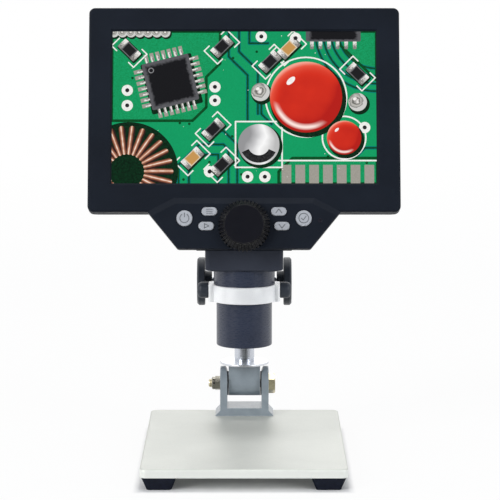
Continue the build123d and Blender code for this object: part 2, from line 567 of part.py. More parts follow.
# ---------------------------------------------------------------- display electronics
def make_electronics():
    middle = screen_centre
    glass = plan(Pos(0, middle) * Rectangle(163.6, 99.0), -wall - 2.0, -wall)
    frame = plan(Pos(0, middle) * RectangleRounded(163.6, 99.0, 1.0), -8.2, -wall - 2.0)
    frame -= plan(Pos(0, middle) * Rectangle(150, 86), -8.2, -7.4)
    board = plan(Pos(0, 68) * RectangleRounded(150, 84, 2.0), -13.8, -12.2)
    board += plan(Pos(-30, 62) * Rectangle(14, 14), -12.2, -11.0)
    board += plan(Pos(8, 75) * Rectangle(9, 12), -12.2, -11.2)
    battery = plan(Pos(0, 58) * RectangleRounded(60, 50, 2.0), -19.4, -13.8)
    side = housing_w / 2
    usb = block(75.2, side - 2.6, 44.3, 51.9, -17.1, -14.4) + block(66, 75.2, 43.5, 52.7, -17.3, -13.8)
    usb -= block(83, side, 45.0, 51.2, -16.6, -14.9)
    slot = block(66, side - 3.6, 65.0, 79.4, -16.2, -13.8)
    slot = slot - block(70, side, 66.6, 77.8, -15.8, -14.5)
    keypad = plan(outline([(-48, 0), (-42, 5), (42, 5), (48, 0), (34.5, -17), (-34.5, -17)]), -6.0, -4.4)
    keypad -= plan(Pos(0, wheel_v) * Circle(4.8), -7, -4)
    for u, v in chin_screws:
        keypad -= plan(Pos(u, v) * Circle(3.2), -7, -4)
    switches = []
    for u, v, kind in buttons.values():
        body = Pos(u, v, -3.75) * Box(5.0, 5.0, 1.3)
        switches.append(on_panel(body + plan(Pos(u, v) * Circle(1.3), -3.1, -2.9)))
    light = plan(Pos(*indicator) * Circle(1.1), -2.2, control_raise - 0.1)
    light += plan(Pos(*indicator) * Rectangle(2.6, 2.6), -4.4, -2.2)
    bush = plan(Pos(0, wheel_v) * Circle(4.0), -9.0, control_raise - 0.2)
    bush += plan(Pos(0, wheel_v) * Circle(5.6), -1.6, control_raise - 2.2)
    bush -= plan(Pos(0, wheel_v) * Circle(focus_shaft_r + 0.06), -10, 3)
    pieces = {"lcd_panel": glass, "lcd_frame": frame, "main_board": board, "battery_pack": battery,
              "usb_port": usb, "card_slot": slot, "keypad_board": keypad, "status_light": light,
              "focus_bush": bush}
    nodes = {name: on_panel(piece) for name, piece in pieces.items()}
    nodes["tact_switches"] = Compound(children=switches)
    return nodes


# ---------------------------------------------------------------- keys and focus wheel
def button_face(u, v, kind, grow=0.0):
    if kind == "round":
        return Pos(u, v) * Circle(round_button_r + grow)
    return Pos(u, v) * SlotOverall(pill_w + 2 * grow, pill_h + 2 * grow)


def make_buttons():
    nodes = {}
    for name, (u, v, kind) in buttons.items():
        cap = plan(button_face(u, v, kind), -1.25, button_top)
        cap = fillet(cap.edges().group_by(Axis.Z)[-1], 0.6)
        cap += plan(button_face(u, v, kind, 0.9), -1.25, -0.25)
        cap += plan(Pos(u, v) * Circle(1.5), -2.25, -1.25)
        nodes[name] = on_panel(cap)
    return nodes


def ribbed_face(outer_r, inner_r, count):
    points = []
    step = 2 * pi / count
    for index in range(count):
        for radius, part in ((inner_r, 0.0), (inner_r, 0.42), (outer_r, 0.54), (outer_r, 0.88)):
            angle = step * (index + part)
            points.append((radius * cos(angle), radius * sin(angle)))
    return outline(points)


def wheel_solid(radius, top):
    """A cylinder whose rim slopes in to the wheel's face."""
    profile = outline([(0, wheel_base), (radius, wheel_base), (radius, wheel_shoulder),
                       (wheel_face_r + 0.3, top), (0, top)])
    return revolve(Plane.XZ * profile, Axis.Z)


def make_focus():
    rim = wheel_top - 0.7
    ribs = plan(ribbed_face(wheel_r, wheel_face_r - rib_depth, wheel_ribs), wheel_base, rim)
    wheel = ribs & wheel_solid(wheel_r, rim)
    wheel += wheel_solid(wheel_r - rib_depth, rim - rib_depth)
    face = plan(Circle(wheel_face_r), rim - 2 * rib_depth, wheel_top)
    wheel += chamfer(face.edges().sort_by(Axis.Z)[-1], 0.5)
    wheel -= plan(Circle(focus_shaft_r + 0.03), wheel_base, wheel_base + 5)
    shaft = plan(Circle(focus_shaft_r), -22.8, wheel_base + 4.8)
    shaft += plan(pinion_face(), -35.3, -22.8)
    return {"focus_wheel": on_panel(Pos(0, wheel_v, 0) * wheel), "focus_shaft": on_panel(Pos(0, wheel_v, 0) * shaft)}


def main():
    nodes = {}
    for group in (make_base(), make_hinge_hardware(), make_column(), make_carriage(), make_height_knobs(),
                  make_clamp_screws(), make_barrel(), make_lens(), make_neck(), make_electronics(),
                  make_buttons(), make_focus()):
        nodes.update(group)
    nodes["front_housing"] = make_front_housing()
    nodes["rear_housing"] = make_rear_housing()
    nodes["housing_screws"] = make_housing_screws()
    for name, shape in nodes.items():
        export_step(shape, "parts/" + name + ".step")
    print(len(nodes), "nodes")


main()
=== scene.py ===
import json
import math
import random

import bmesh
import bpy
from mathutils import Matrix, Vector


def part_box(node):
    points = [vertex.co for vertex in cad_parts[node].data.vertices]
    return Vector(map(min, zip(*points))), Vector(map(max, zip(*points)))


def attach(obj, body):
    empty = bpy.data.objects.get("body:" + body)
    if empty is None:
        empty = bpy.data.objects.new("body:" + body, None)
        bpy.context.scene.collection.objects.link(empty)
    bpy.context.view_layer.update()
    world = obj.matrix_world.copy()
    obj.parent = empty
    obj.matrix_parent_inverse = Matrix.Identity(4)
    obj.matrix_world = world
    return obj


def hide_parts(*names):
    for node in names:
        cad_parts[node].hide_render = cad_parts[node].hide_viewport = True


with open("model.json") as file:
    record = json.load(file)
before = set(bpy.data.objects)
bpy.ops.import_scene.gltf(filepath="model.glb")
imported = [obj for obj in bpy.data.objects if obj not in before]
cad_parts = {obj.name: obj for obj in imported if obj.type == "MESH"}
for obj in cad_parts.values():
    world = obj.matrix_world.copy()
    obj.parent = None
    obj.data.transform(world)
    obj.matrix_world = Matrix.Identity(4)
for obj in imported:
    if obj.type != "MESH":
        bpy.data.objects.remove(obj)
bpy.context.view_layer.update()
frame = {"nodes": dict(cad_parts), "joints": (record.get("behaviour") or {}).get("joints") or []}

# ------------------------------------------------------------------ sizes and places
# Sizes are in millimetres, and MM turns them into Blender's metres. Panel coordinates start at the
# bottom middle of the housing's front face: u runs to the right, v up the display, w out of it.
MM = 0.001
focus_joint = next(joint for joint in frame["joints"] if joint["name"] == "focus_wheel_turn")
OUT = Vector(focus_joint["axis"]).normalized()
RIGHT = Vector((1, 0, 0))
UP = OUT.cross(RIGHT)
WHEEL_V = -8.75                 # the focus wheel's axis
PANEL_ZERO = Vector(focus_joint["pos_m"]) - UP * WHEEL_V * MM

SCREEN_W, SCREEN_H, SCREEN_V = 153.6, 90.0, 61.85
GLASS_W = -2.1                  # the display's glass
LAYER = 0.02                    # from one sheet of the picture to the next
BUTTON_TOP = 3.0                # the keys' faces
LEGEND_LIFT, LEGEND_LINE = 0.01, 0.5        # the legends' height above the keys, and their strokes
BUTTONS = {
    "power_button": (-34.35, -4.15), "menu_button": (-20.0, -0.15), "play_button": (-21.8, -8.65),
    "up_button": (20.0, -0.15), "down_button": (21.8, -8.65), "ok_button": (34.35, -4.15),
}
THREAD_PITCH = 1.0
THREAD_FROM, THREAD_FULL = -18.0, -18.5     # along x, beyond the nut's outer face
PLATE_HALF = (57.5, 80.0)
PLATE_CENTRE_Y = -2.875

# Where a noise has most of its values, the middle of them, and where the patches of painted edge highlight
# begin and end.
NOISE_SPAN, NOISE_MIDDLE, HIGHLIGHT_PATCH_SPAN = (0.3, 0.7), (0.35, 0.65), (0.35, 0.6)
EDGE_SPAN = (0.75, 0.995)       # cosines between the rounded and the plain normal, from the full painted edge highlight to none


def on_panel(u, v, w):
    return PANEL_ZERO + (RIGHT * u + UP * v + OUT * w) * MM


def turned_point(middle, x, y, turn):
    """The point (x, y) about the middle, turned by so many degrees."""
    c, s = math.cos(math.radians(turn)), math.sin(math.radians(turn))
    return middle[0] + c * x - s * y, middle[1] + s * x + c * y


# ------------------------------------------------------------------ nodes
def is_socket(value):
    return hasattr(value, "is_output")


class Nodes:
    """Short calls that add nodes to a tree. A value is a socket of another node or a plain one."""

    def __init__(self, tree):
        self.tree = tree

    def node(self, kind, inputs=None, **settings):
        made = self.tree.nodes.new(kind)
        for key, value in settings.items():
            setattr(made, key, value)
        for key, value in (inputs or {}).items():
            if is_socket(value):
                self.tree.links.new(value, made.inputs[key])
            else:
                made.inputs[key].default_value = value
        return made

    def remap(self, value, low, high, from_low=0.0, from_high=1.0):
        """Low where the value is from_low, high where it is from_high, and never beyond them."""
        made = self.node("ShaderNodeMapRange", {
            "Value": value, "From Min": from_low, "From Max": from_high, "To Min": low, "To Max": high})
        return made.outputs[0]

    def math(self, operation, first, second=0.0):
        return self.node("ShaderNodeMath", {0: first, 1: second}, operation=operation).outputs[0]

    def along(self, vector, axis):
        return self.node("ShaderNodeSeparateXYZ", {0: vector}).outputs[axis]

    def blend(self, factor, first, second):
        return self.node("ShaderNodeMixShader", {0: factor, 1: first, 2: second}).outputs[0]


class Shader(Nodes):
    """A material with a Principled shader."""

    def __init__(self, name, roughness, metallic=0.0, specular=0.5):
        self.material = bpy.data.materials.new(name)
        self.material.use_nodes = True
        super().__init__(self.material.node_tree)
        self.surface = self.tree.nodes["Principled BSDF"]
        self.put("Roughness", roughness)
        self.put("Metallic", metallic)
        self.put("Specular IOR Level", specular)
        self.position = self.node("ShaderNodeTexCoord").outputs["Object"]

    def put(self, socket, value):
        """Sets a value that is the same all over."""
        self.surface.inputs[socket].default_value = value

    def feed(self, socket, value):
        self.tree.links.new(value, self.surface.inputs[socket])

    def noise(self, waves, detail, stretch=None):
        """Noise with so many waves per metre, times the stretch along each axis."""
        source = self.position
        if stretch:
            source = self.node("ShaderNodeMapping", {"Vector": source, "Scale": stretch}).outputs[0]
        made = self.node("ShaderNodeTexNoise", {"Vector": source, "Scale": waves, "Detail": detail})
        return made.outputs["Fac"]

    def ramp(self, value, *stops):
        made = self.node("ShaderNodeValToRGB", {"Fac": value})
        elements = made.color_ramp.elements
        while len(elements) < len(stops):
            elements.new(0.5)
        for element, (position, colour) in zip(elements, stops):
            element.position = position
            element.color = (*colour, 1.0)
        return made.outputs["Color"]

    def two_tone(self, value, dark, light, span=NOISE_SPAN):
        return self.ramp(value, (span[0], dark), (span[1], light))

    def mix(self, factor, first, second):
        first, second = (value if is_socket(value) else (*value, 1.0) for value in (first, second))
        made = self.node("ShaderNodeMix", {"Factor": factor, 6: first, 7: second}, data_type="RGBA")
        return made.outputs[2]

    def vary_roughness(self, value, low, high):
        self.feed("Roughness", self.remap(value, low, high, *NOISE_SPAN))

    def bump(self, height, strength, distance):
        made = self.node("ShaderNodeBump",
                         {"Height": height, "Strength": strength, "Distance": distance * MM})
        self.feed("Normal", made.outputs[0])


def shades(colour, low, high):
    """The same colour twice, darker and lighter."""
    return [tuple(min(1.0, part * factor) for part in colour) for factor in (low, high)]


# ------------------------------------------------------------------ materials
def edge_highlight_mask(shader, radius):
    """One where the surface is convex within the radius: where the painted edge highlight goes."""
    bevel = shader.node("ShaderNodeBevel", {"Radius": radius * MM}, samples=4)
    plain = shader.node("ShaderNodeNewGeometry")
    dot = shader.node("ShaderNodeVectorMath", {0: bevel.outputs[0], 1: plain.outputs["Normal"]},
                      operation="DOT_PRODUCT")
    return shader.remap(dot.outputs["Value"], 1.0, 0.0, *EDGE_SPAN)


def paint_edge_highlight(shader, paint, edge_highlight, radius, waves, least, most):
    """The paint with a paler colour along its edges as a painted highlight, in noise patches from the least
    to the most.
    """
    highlight_patches = shader.remap(shader.noise(waves, 3), least, most, *HIGHLIGHT_PATCH_SPAN)
    return shader.mix(shader.math("MULTIPLY", edge_highlight_mask(shader, radius), highlight_patches), paint, edge_highlight)


def moulded_plastic(name, colour, roughness, grain=7000, grain_depth=0.02, specular=0.35,
                    edge_highlight=None):
    """Plastic with a moulded grain; a paler colour along its edges, where one is given, is a painted
    highlight.
    """
    shader = Shader(name, roughness, specular=specular)
    paint = shader.two_tone(shader.noise(35, 4), *shades(colour, 0.86, 1.16))
    # painted highlight: a paler colour along the edges
    if edge_highlight:
        paint = paint_edge_highlight(shader, paint, edge_highlight, 0.3, 150, 0.1, 1.0)
    shader.feed("Base Color", paint)
    shader.vary_roughness(shader.noise(220, 3), roughness - 0.05, roughness + 0.07)
    shader.bump(shader.noise(grain, 2), 0.35, grain_depth)
    return shader.material


def satin_metal(name, colour, roughness, grain=9000, grain_depth=0.006, stretch=None,
                variation=0.08, metallic=1.0):
    """Metal with an even grain, or with the turned or brushed lines that a stretch makes of it."""
    shader = Shader(name, roughness, metallic=metallic)
    dark, light = shades(colour, 1 - variation, 1 + variation * 0.6)
    shader.feed("Base Color", shader.two_tone(shader.noise(90, 4), dark, light))
    shader.vary_roughness(shader.noise(grain * 0.3, 2, stretch), roughness - 0.05, roughness + 0.08)
    shader.bump(shader.noise(grain, 2, stretch), 0.3, grain_depth)
    return shader.material


def threaded_zinc(name):
    """Yellow-passivated steel; the bolt's free end, beyond the nut, has its thread."""
    shader = Shader(name, 0.20, metallic=1.0)
    blotch = shader.noise(260, 4)
    shader.feed("Base Color", shader.two_tone(blotch, (0.52, 0.46, 0.31), (0.78, 0.71, 0.51)))
    place = shader.along(shader.position, 0)
    ridges = shader.math("SINE", shader.math("MULTIPLY", place, 2 * math.pi / (THREAD_PITCH * MM)))
    free_end = shader.remap(place, 1.0, 0.0, THREAD_FULL * MM, THREAD_FROM * MM)
    height = shader.math("ADD", shader.math("MULTIPLY", ridges, free_end),
                         shader.math("MULTIPLY", blotch, 0.2))
    shader.bump(height, 0.8, 0.15)
    return shader.material


def painted_metal(name, colour, edge_highlight, roughness):
    """Enamel that is painted paler along its edges, as a painted highlight."""
    shader = Shader(name, roughness, specular=0.4)
    paint = shader.two_tone(shader.noise(160, 5), *shades(colour, 0.9, 1.1))
    shader.feed("Base Color", paint_edge_highlight(shader, paint, edge_highlight, 0.45, 240, 0.15, 0.9))
    shader.vary_roughness(shader.noise(900, 2), roughness - 0.06, roughness + 0.08)
    shader.bump(shader.noise(3200, 3), 0.4, 0.03)
    shader.put("Coat Weight", 0.6)
    shader.put("Coat Roughness", 0.18)
    return shader.material


def blasted_plate(name):
    """Bead-blasted, clear-coated aluminium: pale, with a fine even grain; its upright sides are painted
    paler, as painted light.
    """
    shader = Shader(name, 0.42, metallic=0.2, specular=0.25)
    speck = shader.noise(2600, 3)
    tone = shader.math("ADD", shader.math("MULTIPLY", speck, 0.5),
                       shader.math("MULTIPLY", shader.noise(28, 4), 0.5))
    blasted = shader.two_tone(tone, (0.57, 0.580, 0.537), (0.66, 0.670, 0.620), NOISE_MIDDLE)
    lit_side_paint = shader.two_tone(tone, (0.83, 0.850, 0.805), (0.88, 0.895, 0.850), NOISE_MIDDLE)
    normal = shader.node("ShaderNodeNewGeometry").outputs["True Normal"]
    level, upright = 0.8, 0.2
    # Painted light: faces that stand upright are painted paler than the top.
    side = shader.remap(shader.along(normal, 2), 1.0, 0.0, upright, level)
    shader.feed("Base Color", shader.mix(side, blasted, lit_side_paint))
    shader.bump(speck, 0.5, 0.05)
    return shader.material


def rubber(name, colour):
    """Matt and a little uneven."""
    shader = Shader(name, 0.75, specular=0.25)
    shader.feed("Base Color", shader.two_tone(shader.noise(400, 4), *shades(colour, 0.8, 1.3)))
    shader.bump(shader.noise(2500, 4), 0.5, 0.04)
    return shader.material


def clear_part(name, colour):
    """Clear acrylic."""
    shader = Shader(name, 0.05)
    shader.put("Transmission Weight", 1.0)
    shader.put("IOR", 1.49)
    shader.feed("Base Color", shader.two_tone(shader.noise(300, 2), colour, (1, 1, 1)))
    shader.bump(shader.noise(900, 2), 0.1, 0.002)
    return shader.material


def circuit_board(name):
    """Green lacquer over a grid of copper."""
    shader = Shader(name, 0.35)
    grid = shader.node("ShaderNodeTexBrick", {
        "Vector": shader.position, "Color1": (0.01, 0.17, 0.06, 1), "Color2": (0.012, 0.21, 0.08, 1),
        "Mortar": (0.02, 0.28, 0.1, 1), "Scale": 260.0, "Mortar Size": 0.03})
    lacquer = shader.mix(shader.noise(300, 3), grid.outputs["Color"], (0.01, 0.14, 0.05))
    shader.feed("Base Color", lacquer)
    shader.bump(grid.outputs["Fac"], 0.3, 0.05)
    return shader.material


def foil(name):
    """A crumpled silver pouch."""
    shader = Shader(name, 0.35, metallic=0.8)
    shader.feed("Base Color", shader.two_tone(shader.noise(120, 5), (0.45, 0.46, 0.48), (0.62, 0.63, 0.65)))
    shader.bump(shader.noise(260, 4), 0.5, 0.2)
    return shader.material


# The housing, wheel and status light take a paler colour along their edges as a painted highlight.
housing = moulded_plastic("housing_plastic", (0.0072, 0.0101, 0.0168), 0.5, grain=5200, grain_depth=0.03,
                          specular=0.10, edge_highlight=(0.030, 0.036, 0.050))
neck_paint = moulded_plastic("neck_plastic", (0.034, 0.0395, 0.057), 0.5, grain=5200, grain_depth=0.03,
                             specular=0.2)
knob = moulded_plastic("knob_plastic", (0.030, 0.036, 0.048), 0.42, grain=4200, specular=0.3)
wheel = moulded_plastic("wheel_plastic", (0.0036, 0.0038, 0.0070), 0.46, grain=4200, specular=0.12,
                        edge_highlight=(0.115, 0.112, 0.100))
key = moulded_plastic("key_plastic", (0.36, 0.375, 0.41), 0.5, grain=3800, grain_depth=0.015,
                      specular=0.3)
inside = moulded_plastic("inner_plastic", (0.02, 0.02, 0.02), 0.6)
pale_inside = moulded_plastic("pale_plastic", (0.62, 0.61, 0.58), 0.5)
barrel = satin_metal("anodised_black", (0.031, 0.039, 0.066), 0.28, grain=1500, grain_depth=0.002,
                     stretch=(1, 1, 9), variation=0.12, metallic=0.0)
ring = satin_metal("bright_aluminium", (0.94, 0.95, 0.97), 0.32, stretch=(1, 1, 14), metallic=0.25)
# Near-black with almost no sheen: the washers' own black, darkened further as painted shade in the fork's
# gaps.
washer = moulded_plastic("washer_plastic", (0.006, 0.006, 0.007), 0.7, specular=0.08)
polished = satin_metal("polished_steel", (0.60, 0.63, 0.69), 0.24, grain=3000, grain_depth=0.002,
                       stretch=(1, 1, 0.06))
flange = satin_metal("satin_steel", (0.74, 0.76, 0.80), 0.34, grain=2600, grain_depth=0.002)
turned = satin_metal("turned_steel", (0.60, 0.61, 0.63), 0.28, stretch=(14, 1, 1))
zinc = threaded_zinc("yellow_zinc")
nut_metal = satin_metal("dull_zinc", (0.33, 0.315, 0.27), 0.15, grain=1500, grain_depth=0.012,
                        variation=0.3)
status = moulded_plastic("status_lens", (0.0095, 0.0090, 0.0150), 0.25, specular=0.3,
                         edge_highlight=(0.060, 0.052, 0.072))
black_oxide = satin_metal("black_oxide", (0.05, 0.05, 0.055), 0.4)
# The grey paint's paler edge colour is a painted highlight.
fork_paint = painted_metal("grey_paint", (0.250, 0.291, 0.328), (0.62, 0.65, 0.67), 0.40)
plate = blasted_plate("blasted_aluminium")
foot = rubber("foot_rubber", (0.0065, 0.0092, 0.020))
board = circuit_board("green_board")
clear = clear_part("clear_window", (0.93, 0.96, 0.97))
pouch = foil("cell_foil")
tinned = satin_metal("tinned_steel", (0.7, 0.7, 0.72), 0.25)
led_white = moulded_plastic("led_white", (0.85, 0.83, 0.66), 0.3, specular=0.5)

NODE_MATERIALS = {name: material for material, names in (
    (plate, "base_plate"),
    (foot, "foot_front_left foot_front_right foot_rear_left foot_rear_right"),
    (black_oxide, "foot_screws fork_screws ring_screws neck_screws housing_screws tension_screw"),
    (fork_paint, "hinge_fork hinge_knuckle"),
    (zinc, "hinge_bolt"),
    (nut_metal, "hinge_nut"),
    (washer, "friction_washers"),
    (polished, "column_post"),
    (flange, "column_flange"),
    (knob, "column_cap height_knob_left height_knob_right clamp_knob_left clamp_knob_right"),
    (turned, "pinion_shaft clamp_stud_left clamp_stud_right focus_shaft"),
    (barrel, "carriage barrel_collar barrel_sleeve"),
    (ring, "clamp_ring"),
    (wheel, "focus_wheel"),
    (housing, "front_housing rear_housing"),
    (neck_paint, "neck"),
    (status, "status_light"),
    (key, " ".join(BUTTONS)),
    (clear, "light_window lens_glass"),
    (board, "led_board sensor_board main_board keypad_board"),
    (led_white, "leds"),
    (pouch, "battery_pack"),
    (tinned, "usb_port card_slot"),
    (inside, "tact_switches lens_carrier lcd_panel"),
    (pale_inside, "lcd_frame focus_bush"),
) for name in names.split()}
for name, node in frame["nodes"].items():
    node.data.materials.clear()
    node.data.materials.append(NODE_MATERIALS[name])


# ------------------------------------------------------------------ pieces
SWEEP_STEPS = 64


def add_object(name, data, material):
    made = bpy.data.objects.new(name, data)
    bpy.context.scene.collection.objects.link(made)
    data.materials.append(material)
    return made


def add_piece(name, mesh, material, body):
    """Turns the bmesh into an object that rides on the body."""
    data = bpy.data.meshes.new(name)
    mesh.to_mesh(data)
    mesh.free()
    piece = add_object(name, data, material)
    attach(piece, body)
    return piece


def sweep_round(mesh, profile, centre):
    """A closed profile of (place along x, radius) in metres, swept round an x axis through the centre."""
    rows = []
    for step in range(SWEEP_STEPS):
        angle = 2 * math.pi * step / SWEEP_STEPS
        rows.append([mesh.verts.new((x, centre.y + r * math.cos(angle), centre.z + r * math.sin(angle)))
                     for x, r in profile])
    for here, there in zip(rows, rows[1:] + rows[:1]):
        for k in range(len(profile)):
            following = (k + 1) % len(profile)
            mesh.faces.new((here[k], here[following], there[following], there[k]))


def make_washers():
    """Spring washers that fill the fork's gaps, their rims rounded; their near-black is partly their own
    colour and partly painted shade in the gaps.
    """
    low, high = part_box("friction_washers")
    centre = (Vector(low) + Vector(high)) / 2
    outer, thick, hole, round_off = 7.4 * MM, 0.7 * MM, 3.4 * MM, 0.15 * MM
    mesh = bmesh.new()
    for x0 in (low[0], high[0] - thick):
        x1 = x0 + thick
        sweep_round(mesh, [(x0, hole), (x1, hole), (x1, outer - round_off), (x1 - round_off, outer),
                           (x0 + round_off, outer), (x0, outer - round_off)], centre)
    bmesh.ops.recalc_face_normals(mesh, faces=mesh.faces)
    piece = add_piece("spring_washers", mesh, washer, "base")
    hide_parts("friction_washers")


# ------------------------------------------------------------------ flat shapes on the panel
def clip(points, half_w, half_h):
    """Points (x, y, s, t) of a polygon cut to the screen; s and t are its own coordinates."""
    for axis, limit, sign in ((0, half_w, 1), (0, half_w, -1), (1, half_h, 1), (1, half_h, -1)):
        kept = []
        for here, there in zip(points, points[1:] + points[:1]):
            a, b = limit - sign * here[axis], limit - sign * there[axis]
            if a >= 0:
                kept.append(here)
            if a * b < 0:
                kept.append(tuple(p + (q - p) * a / (a - b) for p, q in zip(here, there)))
        points = kept
        if not points:
            break
    return points


class Sheet:
    """Flat shapes of one material, gathered in one mesh that is parallel to the panel."""

    CORNER_STEPS = 5
    LINE_END = 0.4              # a line's rounding and its reach past each end, for a width of one

    def __init__(self, name, material, w, centre_v=0.0, half=None):
        self.name, self.material, self.w, self.centre_v, self.half = name, material, w, centre_v, half
        self.mesh = bmesh.new()
        self.layer = self.mesh.loops.layers.uv.new("local")

    def polygon(self, points, middle=(0, 0), turn=0.0, size=(1, 1)):
        """Points about the middle; the shape's own coordinates run from -1 to 1 over its size."""
        placed = [(*turned_point(middle, x, y, turn), 2 * x / size[0], 2 * y / size[1])
                  for x, y in points]
        if self.half:
            placed = clip(placed, *self.half)
        if len(placed) < 3:
            return
        face = self.mesh.faces.new([self.mesh.verts.new(on_panel(x, self.centre_v + y, self.w))
                                    for x, y, _, _ in placed])
        for loop, (_, _, s_own, t_own) in zip(face.loops, placed):
            loop[self.layer].uv = (s_own, t_own)

    def rectangle(self, middle, width, height, turn=0.0, corner=0.0):
        steps = self.CORNER_STEPS if corner else 0
        points = []
        for quarter, (sx, sy) in enumerate(((1, 1), (-1, 1), (-1, -1), (1, -1))):
            for step in range(steps + 1):
                angle = math.pi / 2 * (quarter + step / max(steps, 1))
                points.append((sx * (width / 2 - corner) + corner * math.cos(angle),
                               sy * (height / 2 - corner) + corner * math.sin(angle)))
        self.polygon(points, middle, turn, (width, height))

    def disc(self, middle, radius, squash=1.0, turn=0.0, steps=28):
        """A disc, or an ellipse that is squashed across its turned axis."""
        angles = [2 * math.pi * k / steps for k in range(steps)]
        points = [(radius * math.cos(angle), squash * radius * math.sin(angle)) for angle in angles]
        self.polygon(points, middle, turn, (2 * radius, 2 * radius * squash))

    def arc(self, middle, radius, width, start=0.0, end=360.0, steps=36):
        inner, outer = radius - width / 2, radius + width / 2
        for step in range(steps):
            a, b = (math.radians(start + (end - start) * (step + k) / steps) for k in (0, 1))
            points = [(outer * math.cos(a), outer * math.sin(a)), (outer * math.cos(b), outer * math.sin(b)),
                      (inner * math.cos(b), inner * math.sin(b)), (inner * math.cos(a), inner * math.sin(a))]
            self.polygon(points, middle, 0.0, (2 * outer, 2 * outer))

    def line(self, points, width, closed=False):
        ends = points[1:] + points[:1] if closed else points[1:]
        for (x0, y0), (x1, y1) in zip(points, ends):
            length = math.hypot(x1 - x0, y1 - y0) + width * 2 * self.LINE_END
            self.rectangle(((x0 + x1) / 2, (y0 + y1) / 2), length, width,
                           math.degrees(math.atan2(y1 - y0, x1 - x0)), width * self.LINE_END)

    def square_frame(self, middle, side, width):
        corners = [(middle[0] + sx * side / 2, middle[1] + sy * side / 2)
                   for sx, sy in ((1, 1), (-1, 1), (-1, -1), (1, -1))]
        self.line(corners, width, closed=True)

    def finish(self, body, slot):
        add_piece(self.name, self.mesh, self.material, body)


# ------------------------------------------------------------------ paints of the screen's picture
class Glow(Shader):
    """A lit screen colour: the display shines by itself behind a glossy front."""

    def __init__(self, name):
        super().__init__("screen_" + name, 0.16, specular=0.12)
        self.put("Base Color", (0.002, 0.002, 0.002, 1))
        self.put("Emission Strength", 1.0)
        own = self.node("ShaderNodeUVMap", uv_map="local").outputs[0]
        self.across, self.upward, _ = self.node("ShaderNodeSeparateXYZ", {0: own}).outputs
        self.radius = self.node("ShaderNodeVectorMath", {0: own}, operation="LENGTH").outputs["Value"]

    def scaled(self, value, factor):
        return self.math("MULTIPLY", value, factor)

    def light(self, colour):
        self.feed("Emission Color", colour)
        return self.material


def glow_grain(name, dark, light, waves=900):
    """Two tones in a fine grain."""
    glow = Glow(name)
    return glow.light(glow.two_tone(glow.noise(waves, 4), dark, light, NOISE_MIDDLE))


def glow_board(name):
    """The board's green lacquer: a fine grain with darker clouds."""
    glow = Glow(name)
    fine = glow.two_tone(glow.noise(2600, 3), (0.003, 0.30, 0.095), (0.006, 0.42, 0.15))
    return glow.light(glow.mix(glow.scaled(glow.noise(32, 3), 0.5), fine, (0.004, 0.22, 0.11)))


def glow_solder(name):
    """A wet dome of solder: a bright spot up on the left, dark bands and a bright rim."""
    glow = Glow(name)
    shifted = glow.math("ADD", glow.radius, glow.scaled(glow.across, 0.25))
    shifted = glow.math("SUBTRACT", shifted, glow.scaled(glow.upward, 0.25))
    depth = glow.math("ADD", shifted, glow.scaled(glow.noise(420, 2), 0.5))
    return glow.light(glow.ramp(
        depth, (0.22, (0.98, 0.97, 0.95)), (0.42, (0.62, 0.60, 0.57)), (0.56, (0.10, 0.10, 0.09)),
        (0.72, (0.55, 0.54, 0.50)), (0.95, (0.20, 0.20, 0.19)), (1.15, (0.62, 0.62, 0.60))))


def glow_end(name):
    """The tinned end of a chip part, streaked."""
    glow = Glow(name)
    streak = glow.math("ADD", glow.scaled(glow.noise(1500, 2), 0.7), glow.scaled(glow.upward, 0.2))
    return glow.light(glow.ramp(
        streak, (0.25, (0.22, 0.21, 0.20)), (0.42, (0.75, 0.73, 0.70)), (0.6, (0.95, 0.94, 0.92))))


def glow_body(name, edge, middle):
    """A moulded block: pale along its edges and a little cloudy in the middle."""
    glow = Glow(name)
    reach = glow.math("MAXIMUM", glow.math("ABSOLUTE", glow.across), glow.math("ABSOLUTE", glow.upward))
    cloud = glow.math("ADD", reach, glow.scaled(glow.noise(700, 3), 0.2))
    return glow.light(glow.ramp(cloud, (0.88, middle), (1.0, edge)))


def glow_red(name):
    """A thick glossy coat: deep red, brighter towards its upper left edge, with a white sheen low down."""
    glow = Glow(name)
    slope = glow.math("SUBTRACT", glow.scaled(glow.upward, 0.6), glow.scaled(glow.across, 0.35))
    edge = glow.math("MULTIPLY", glow.math("POWER", glow.radius, 6.0), slope)
    tone = glow.math("ADD", edge, glow.scaled(glow.noise(60, 2), 0.16))
    coat = glow.ramp(tone, (0.0, (0.46, 0.012, 0.008)), (0.12, (0.66, 0.028, 0.012)),
                     (0.34, (0.80, 0.09, 0.05)), (0.6, (0.92, 0.38, 0.30)))
    rim = glow.math("MULTIPLY", glow.remap(glow.radius, 0.0, 1.0, 0.74, 0.84),
                    glow.remap(glow.radius, 1.0, 0.0, 0.86, 0.94))
    low = glow.math("ADD", glow.upward, glow.scaled(glow.across, 0.4))
    sheen = glow.math("MULTIPLY", rim, glow.remap(low, 1.0, 0.0, -0.75, -0.45))
    return glow.light(glow.mix(sheen, coat, (1.0, 0.80, 0.74)))


def glow_copper(name):
    """Varnished wire: brown along its sides with a pale line on top."""
    glow = Glow(name)
    off_line = glow.math("ABSOLUTE", glow.math("SUBTRACT", glow.upward, 0.2))
    wave = glow.math("ADD", off_line, glow.scaled(glow.noise(380, 2), 0.3))
    return glow.light(glow.ramp(wave, (0.14, (0.98, 0.88, 0.80)), (0.30, (0.62, 0.30, 0.18)),
                                (0.62, (0.26, 0.09, 0.05)), (1.0, (0.03, 0.01, 0.01))))


def glow_can(name):
    """The brushed top of a metal can."""
    glow = Glow(name)
    sweep = glow.math("ADD", glow.scaled(glow.across, 0.5), glow.scaled(glow.noise(45, 3), 0.8))
    return glow.light(glow.ramp(sweep, (0.05, (0.30, 0.30, 0.31)), (0.3, (0.62, 0.62, 0.63)),
                                (0.5, (0.95, 0.95, 0.95)), (0.75, (0.50, 0.50, 0.50))))


